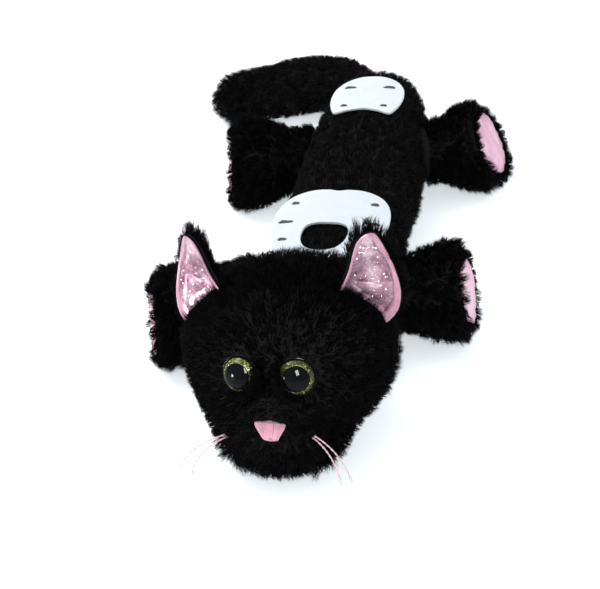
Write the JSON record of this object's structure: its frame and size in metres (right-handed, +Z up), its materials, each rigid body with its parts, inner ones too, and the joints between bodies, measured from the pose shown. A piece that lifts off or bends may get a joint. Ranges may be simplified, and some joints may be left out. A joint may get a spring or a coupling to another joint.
{
  "type": "plush cat",
  "caption": "Black long-pile plush cat lying flat on its belly, with splayed legs, a side-curled tail, foil-lined ears and two white plates sewn on its back.",
  "frame": {"origin": "centre of the flat belly, on the floor", "axes": "+Z up, -Y the way the face looks, +X the cat's own left side"},
  "size_m": [0.1977, 0.3595, 0.1055],
  "materials": {
    "black_plush": "long-pile faux fur, near black, soft sheen",
    "polyester_stuffing": "white fibre stuffing",
    "pouch_cloth": "thin plain cloth",
    "pellets": "loose polyethylene pellets",
    "white_plate": "smooth cut sheet, satin white",
    "black_thread": "thick sewing thread",
    "pink_thread": "satin-stitch embroidery thread",
    "pink_foil": "metallic foil-printed knit, glitter",
    "pink_satin": "smooth satin",
    "eye_lens": "clear moulded acrylic dome",
    "eye_black": "gloss black",
    "eye_glitter": "olive-green glitter",
    "washer": "white push-on washer"
  },
  "bodies": {
    "torso": {"torso_skin": "black_plush", "torso_stuffing": "polyester_stuffing", "pellet_pouch": "pouch_cloth", "pellets": "pellets", "shoulder_plate": "white_plate", "shoulder_plate_stitches": "black_thread", "rump_plate": "white_plate", "rump_plate_stitches": "black_thread"},
    "neck": {"neck_skin": "black_plush", "neck_stuffing": "polyester_stuffing"},
    "head": {"head_skin": "black_plush", "head_stuffing": "polyester_stuffing", "nose_embroidery": "pink_thread", "whiskers_left": "pink_thread", "whiskers_right": "pink_thread", "whisker_knots": "pink_thread", "eye_left_lens": "eye_lens", "eye_left_pupil": "eye_black", "eye_left_glitter_ring": "eye_glitter", "eye_left_shank": "eye_black", "eye_left_washer": "washer", "eye_right_lens": "eye_lens", "eye_right_pupil": "eye_black", "eye_right_glitter_ring": "eye_glitter", "eye_right_shank": "eye_black", "eye_right_washer": "washer"},
    "ear_left": {"ear_left_back": "black_plush", "ear_left_lining": "pink_foil"},
    "ear_right": {"ear_right_back": "black_plush", "ear_right_lining": "pink_foil"},
    "foreleg_left": {"foreleg_left_skin": "black_plush", "foreleg_left_stuffing": "polyester_stuffing", "foreleg_left_sole": "pink_satin"},
    "foreleg_right": {"foreleg_right_skin": "black_plush", "foreleg_right_stuffing": "polyester_stuffing", "foreleg_right_sole": "pink_satin"},
    "hindleg_left": {"hindleg_left_skin": "black_plush", "hindleg_left_stuffing": "polyester_stuffing", "hindleg_left_sole": "pink_satin"},
    "hindleg_right": {"hindleg_right_skin": "black_plush", "hindleg_right_stuffing": "polyester_stuffing", "hindleg_right_sole": "pink_satin"},
    "tail": {"tail_skin": "black_plush", "tail_stuffing": "polyester_stuffing"}
  },
  "joints": [
    {"name": "neck_turn", "type": "hinge", "parent": "torso", "child": "neck", "pos_m": [0, -0.091, 0.038], "axis": [0, 0, 1], "range_deg": [-22, 22]},
    {"name": "head_nod", "type": "hinge", "parent": "neck", "child": "head", "pos_m": [0, -0.091, 0.038], "axis": [-1, 0, 0], "range_deg": [0, 26]},
    {"name": "ear_left_fold", "type": "hinge", "parent": "head", "child": "ear_left", "pos_m": [0.0349, -0.12925, 0.0734], "axis": [0.7579, -0.0204, -0.652], "range_deg": [-10, 22], "stiffness_Nm_per_rad": 0.02},
    {"name": "ear_right_fold", "type": "hinge", "parent": "head", "child": "ear_right", "pos_m": [-0.0347, -0.13475, 0.074], "axis": [0.7537, 0.1002, 0.6495], "range_deg": [-10, 22], "stiffness_Nm_per_rad": 0.02},
    {"name": "foreleg_left_sweep", "type": "hinge", "parent": "torso", "child": "foreleg_left", "pos_m": [0.033, -0.062, 0.025], "axis": [0, 0, 1], "range_deg": [-30, 24]},
    {"name": "foreleg_right_sweep", "type": "hinge", "parent": "torso", "child": "foreleg_right", "pos_m": [-0.033, -0.064, 0.025], "axis": [0, 0, -1], "range_deg": [-4, 50]},
    {"name": "hindleg_left_sweep", "type": "hinge", "parent": "torso", "child": "hindleg_left", "pos_m": [0.033, 0.07, 0.026], "axis": [0, 0, 1], "range_deg": [-45, 16]},
    {"name": "hindleg_right_sweep", "type": "hinge", "parent": "torso", "child": "hindleg_right", "pos_m": [-0.033, 0.064, 0.026], "axis": [0, 0, -1], "range_deg": [-16, 35]},
    {"name": "tail_swing", "type": "hinge", "parent": "torso", "child": "tail", "pos_m": [-0.008, 0.117, 0.03], "axis": [0, 0, -1], "range_deg": [-15, 45]}
  ]
}
